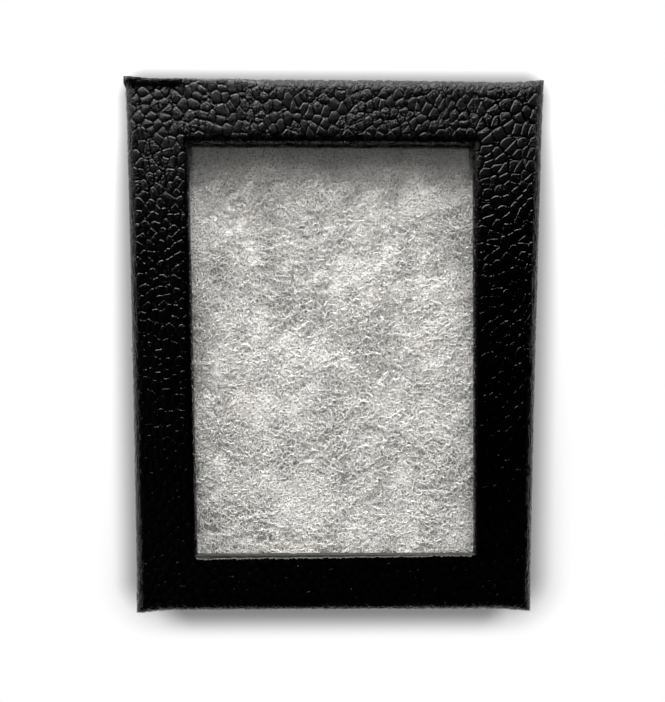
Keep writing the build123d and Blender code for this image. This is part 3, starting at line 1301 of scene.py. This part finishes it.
# %% The pad's body
pad_low, pad_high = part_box("fibre_pad")
glass_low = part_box("window_glass")[0].z
pad_middle = (pad_low + pad_high) / 2
pad_half = (pad_high - pad_low) / 2
fibre_room = 0.5 * mm
nothing_selected()
bpy.ops.mesh.primitive_cube_add(size=2, location=pad_middle)
pad = bpy.context.object
pad.name = pad.data.name = "fibre_pad_batting"
pad.scale = pad_half - Vector((fibre_room, fibre_room, 0))
bpy.ops.object.transform_apply(location=True, rotation=True, scale=True)
edit(pad)
bpy.ops.mesh.select_all(action="SELECT")
bpy.ops.mesh.bevel(offset=2.5 * mm, segments=4)
bpy.ops.object.mode_set(mode="OBJECT")
remesh = pad.modifiers.new("even_cells", "REMESH")
remesh.mode = "VOXEL"
remesh.voxel_size = 1.1 * mm
apply_modifiers(pad)


def lumps(points, size, seed):
    """Smooth random lumps at each point, from about -1 to 1. Points and size are in mm."""
    draw = np.random.default_rng(seed)
    waves = draw.normal(size=(24, 3)) / size
    phases = draw.uniform(0, 2 * math.pi, 24)
    return np.sin(points @ waves.T + phases).sum(axis=1) / 24**0.5


body_points = points_of(pad)
swell = 0.22 * lumps(body_points, 3.0, 3) + 0.12 * lumps(body_points, 1.0, 4)
body_points[:, 2] += np.clip(swell, -0.5, 0.3) - 0.3
move_points(pad, body_points)
print("pad body:", len(pad.data.polygons), "faces")

# %% [markdown]
# The fibres start as lines. Each has its own start, heading and bend, with a wave along it,
# which is the crimp. Lines that run past the pad's edge fold down its side. Geometry nodes
# then turn each line into a thin three-sided tube, so that thousands of them stay light, and
# each keeps a shade of its own.

# %% The pad's fibres
fibre_count = 14500
fibre_steps = 14
fibre_step = 0.4
fibre_radius = 0.055
side_reach = 5.0
fibre_top = glass_low / mm - fibre_radius - 0.05

draw = np.random.default_rng(21)
half_x, half_y = pad_half.x / mm - fibre_radius, pad_half.y / mm - fibre_radius
start_x = draw.uniform(-half_x - side_reach, half_x + side_reach, fibre_count)
start_y = draw.uniform(-half_y - side_reach, half_y + side_reach, fibre_count)
along = np.arange(fibre_steps + 1) * fibre_step
one_each = (fibre_count, 1)
crimp_length = draw.uniform(1.1, 2.6, one_each)
heading = draw.uniform(0, 2 * math.pi, one_each) + draw.normal(0, 0.22, one_each) * along
crimp = 2 * math.pi * (along / crimp_length + draw.uniform(0, 1, one_each))
heading += draw.uniform(0.4, 1.3, one_each) * np.sin(crimp)
flat_x = start_x[:, None] + np.cumsum(np.cos(heading), axis=1) * fibre_step
flat_y = start_y[:, None] + np.cumsum(np.sin(heading), axis=1) * fibre_step
depth = draw.exponential(0.22, one_each) + 0.22 * (1 + np.sin(crimp * 0.9 + 1))
cloud = lumps(np.stack([start_x, start_y, 0 * start_x], axis=1), 2.4, 8)
depth += 0.10 * (1 - cloud[:, None])

past_x = np.maximum(np.abs(flat_x) - half_x, 0)
past_y = np.maximum(np.abs(flat_y) - half_y, 0)
line_points = np.stack(
    [
        np.sign(flat_x) * np.minimum(np.abs(flat_x), half_x - 0.4 * depth),
        np.sign(flat_y) * np.minimum(np.abs(flat_y), half_y - 0.4 * depth),
        np.clip(fibre_top - depth - np.hypot(past_x, past_y), pad_low.z / mm + 0.2, fibre_top),
    ],
    axis=2,
)
firsts = np.arange(fibre_count)[:, None] * (fibre_steps + 1) + np.arange(fibre_steps)
lines = np.stack([firsts.ravel(), firsts.ravel() + 1], axis=1)
fibre_mesh = bpy.data.meshes.new("fibres")
fibre_mesh.from_pydata(line_points.reshape(-1, 3) * mm, lines, [])
fibres = bpy.data.objects.new("fibres", fibre_mesh)
bpy.context.scene.collection.objects.link(fibres)
store(fibres, "shade", np.repeat(draw.uniform(0, 1, fibre_count), fibre_steps + 1))


def tube_group(radius, corners):
    """Turn lines into tubes."""
    group, start, end = shaping_group("Tubes")
    curve = add(group, "GeometryNodeMeshToCurve", {"Mesh": start.outputs[0]}).outputs[0]
    ring = {"Resolution": corners, "Radius": radius}
    profile = add(group, "GeometryNodeCurvePrimitiveCircle", ring).outputs[0]
    tubes = {"Curve": curve, "Profile Curve": profile, "Fill Caps": True}
    mesh = add(group, "GeometryNodeCurveToMesh", tubes).outputs[0]
    group.links.new(mesh, end.inputs[0])
    return group


shape_with(fibres, tube_group(fibre_radius * mm, 3))
store(pad, "shade", np.full(len(pad.data.vertices), -1.0))
only(fibres)
bpy.ops.object.shade_smooth()
pad.select_set(True)
bpy.context.view_layer.objects.active = pad
bpy.ops.object.join()
print("pad with fibres:", len(pad.data.polygons), "faces")

# %% White fibre
batting, tree, shader = new_finish("white_fibre", Roughness=0.7)
place = object_place(tree)
shade = stored(tree, "shade")
on_fibre = maths(tree, "GREATER_THAN", shade, -0.5)
clouds = remap(tree, noise(tree, place, 130.0, 4), 0.3, 0.7)
tangle = effect(tree, fine_grain, Place=place, Scale=1700.0)
# Painted shade: the pad's body, seen through the gaps between the fibres, is coloured dark grey
# with a random mottle, for the shade that falls in those gaps.
gap_shaded_body_colour = blend_colours(tree, tangle, grey(0.75, 0.02), grey(0.25, 0.025))
fibre_colour = blend_colours(tree, shade, grey(0.78, 0.02), grey(1.0, 0.01))
colour = blend_colours(tree, on_fibre, gap_shaded_body_colour, fibre_colour)
clouded = blend_colours(tree, clouds, grey(0.94, 0.01), grey(1.0))
# Painted shade: whatever lies deeper in the pad, fibres and body alike, is coloured darker, down
# to a grey of 0.4 at 1.3 mm below the fibres' top, for the shade cast by the fibres above it.
height = add(tree, "ShaderNodeSeparateXYZ", {0: place}).outputs["Z"]
painted_depth_shade = remap(tree, height, (fibre_top - 1.3) * mm, (fibre_top - 0.2) * mm)
clouded = blend_colours(tree, painted_depth_shade, grey(0.40), clouded)
mixed = add(tree, "ShaderNodeVectorMath", {0: colour, 1: clouded}, operation="MULTIPLY")
tree.links.new(mixed.outputs[0], shader.inputs["Base Color"])
bump(tree, shader, tangle, 0.08 * mm)
pad.data.materials.append(batting)
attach(pad, "tray")
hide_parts("fibre_pad")

# %% [markdown]
# ## Glass
# The pane is 2 mm window glass. Its shader lets shadow rays straight through, because the
# renderer would otherwise treat the pad below as lying in the pane's shadow.

# %% Glass
pane, tree, shader = new_finish(
    "clear_glass", Base_Color=(0.985, 0.985, 0.98, 1), Roughness=0.0, IOR=1.5
)
shader.inputs["Transmission Weight"].default_value = 1.0
passing = add(tree, "ShaderNodeBsdfTransparent", {"Color": (0.96, 0.96, 0.955, 1)})
is_shadow = add(tree, "ShaderNodeLightPath").outputs["Is Shadow Ray"]
choice = {0: is_shadow, 1: shader.outputs[0], 2: passing.outputs[0]}
either = add(tree, "ShaderNodeMixShader", choice)
tree.links.new(either.outputs[0], tree.nodes["Material Output"].inputs["Surface"])


def dress(node, finish):
    """Give a piece of the frame its finish."""
    for slot in frame["nodes"][node].material_slots:
        slot.material = finish


dress("window_glass", pane)

# %% [markdown]
# ## Card, board, tape and steel
# These pieces keep the frame's own shapes. Chipboard is dark grey pulp with paler flecks.
# The strips are paler card, and the corner stays are brown gummed paper. The pins are bright
# steel wire, drawn along its length, with a stamped head.


# %% Card, board and tape
def pulp(name, colour, fleck, roughness, fleck_size):
    """Pressed pulp: a colour with flecks of another, and a fibrous surface."""
    finish, tree, shader = new_finish(name, Roughness=roughness, Specular_IOR_Level=0.15)
    place = object_place(tree)
    flecks = effect(tree, board_fibres, Place=place, Scale=1 / fleck_size)
    stains = remap(tree, noise(tree, place, 160.0, 3), 0.35, 0.7)
    stained = blend_colours(tree, stains, colour, [level * 0.8 for level in colour[:3]] + [1])
    mixed = blend_colours(tree, flecks, stained, fleck)
    tree.links.new(mixed, shader.inputs["Base Color"])
    bump(tree, shader, flecks, 0.05 * mm)
    return finish


chipboard = pulp("chipboard", (0.019, 0.020, 0.018, 1), (0.038, 0.040, 0.034, 1), 0.85, 0.4 * mm)
strip_card = pulp("strip_card", (0.42, 0.40, 0.35, 1), (0.30, 0.27, 0.22, 1), 0.8, 0.6 * mm)
gummed_tape = pulp("gummed_tape", (0.34, 0.22, 0.12, 1), (0.24, 0.15, 0.08, 1), 0.6, 0.5 * mm)
for name in frame["nodes"]:
    if name.endswith("_board"):
        dress(name, chipboard)
    elif "strip" in name:
        dress(name, strip_card)
    elif "stay" in name:
        dress(name, gummed_tape)

# %% Steel
steel, tree, shader = new_finish("pin_steel", Metallic=1.0, Roughness=0.25)
place = object_place(tree)
drawn = add(tree, "ShaderNodeMapping", {"Vector": place, "Scale": (300, 6000, 6000)})
lines_drawn = noise(tree, drawn.outputs[0], 1.0, 3)
tarnish = remap(tree, noise(tree, place, 900.0, 4), 0.4, 0.75)
colour = blend_colours(tree, tarnish, (0.63, 0.61, 0.58, 1), (0.42, 0.39, 0.35, 1))
tree.links.new(colour, shader.inputs["Base Color"])
tree.links.new(remap(tree, tarnish, 0.0, 1.0, 0.2, 0.45), shader.inputs["Roughness"])
bump(tree, shader, lines_drawn, 0.004 * mm)
dress("pin_left", steel)
dress("pin_right", steel)
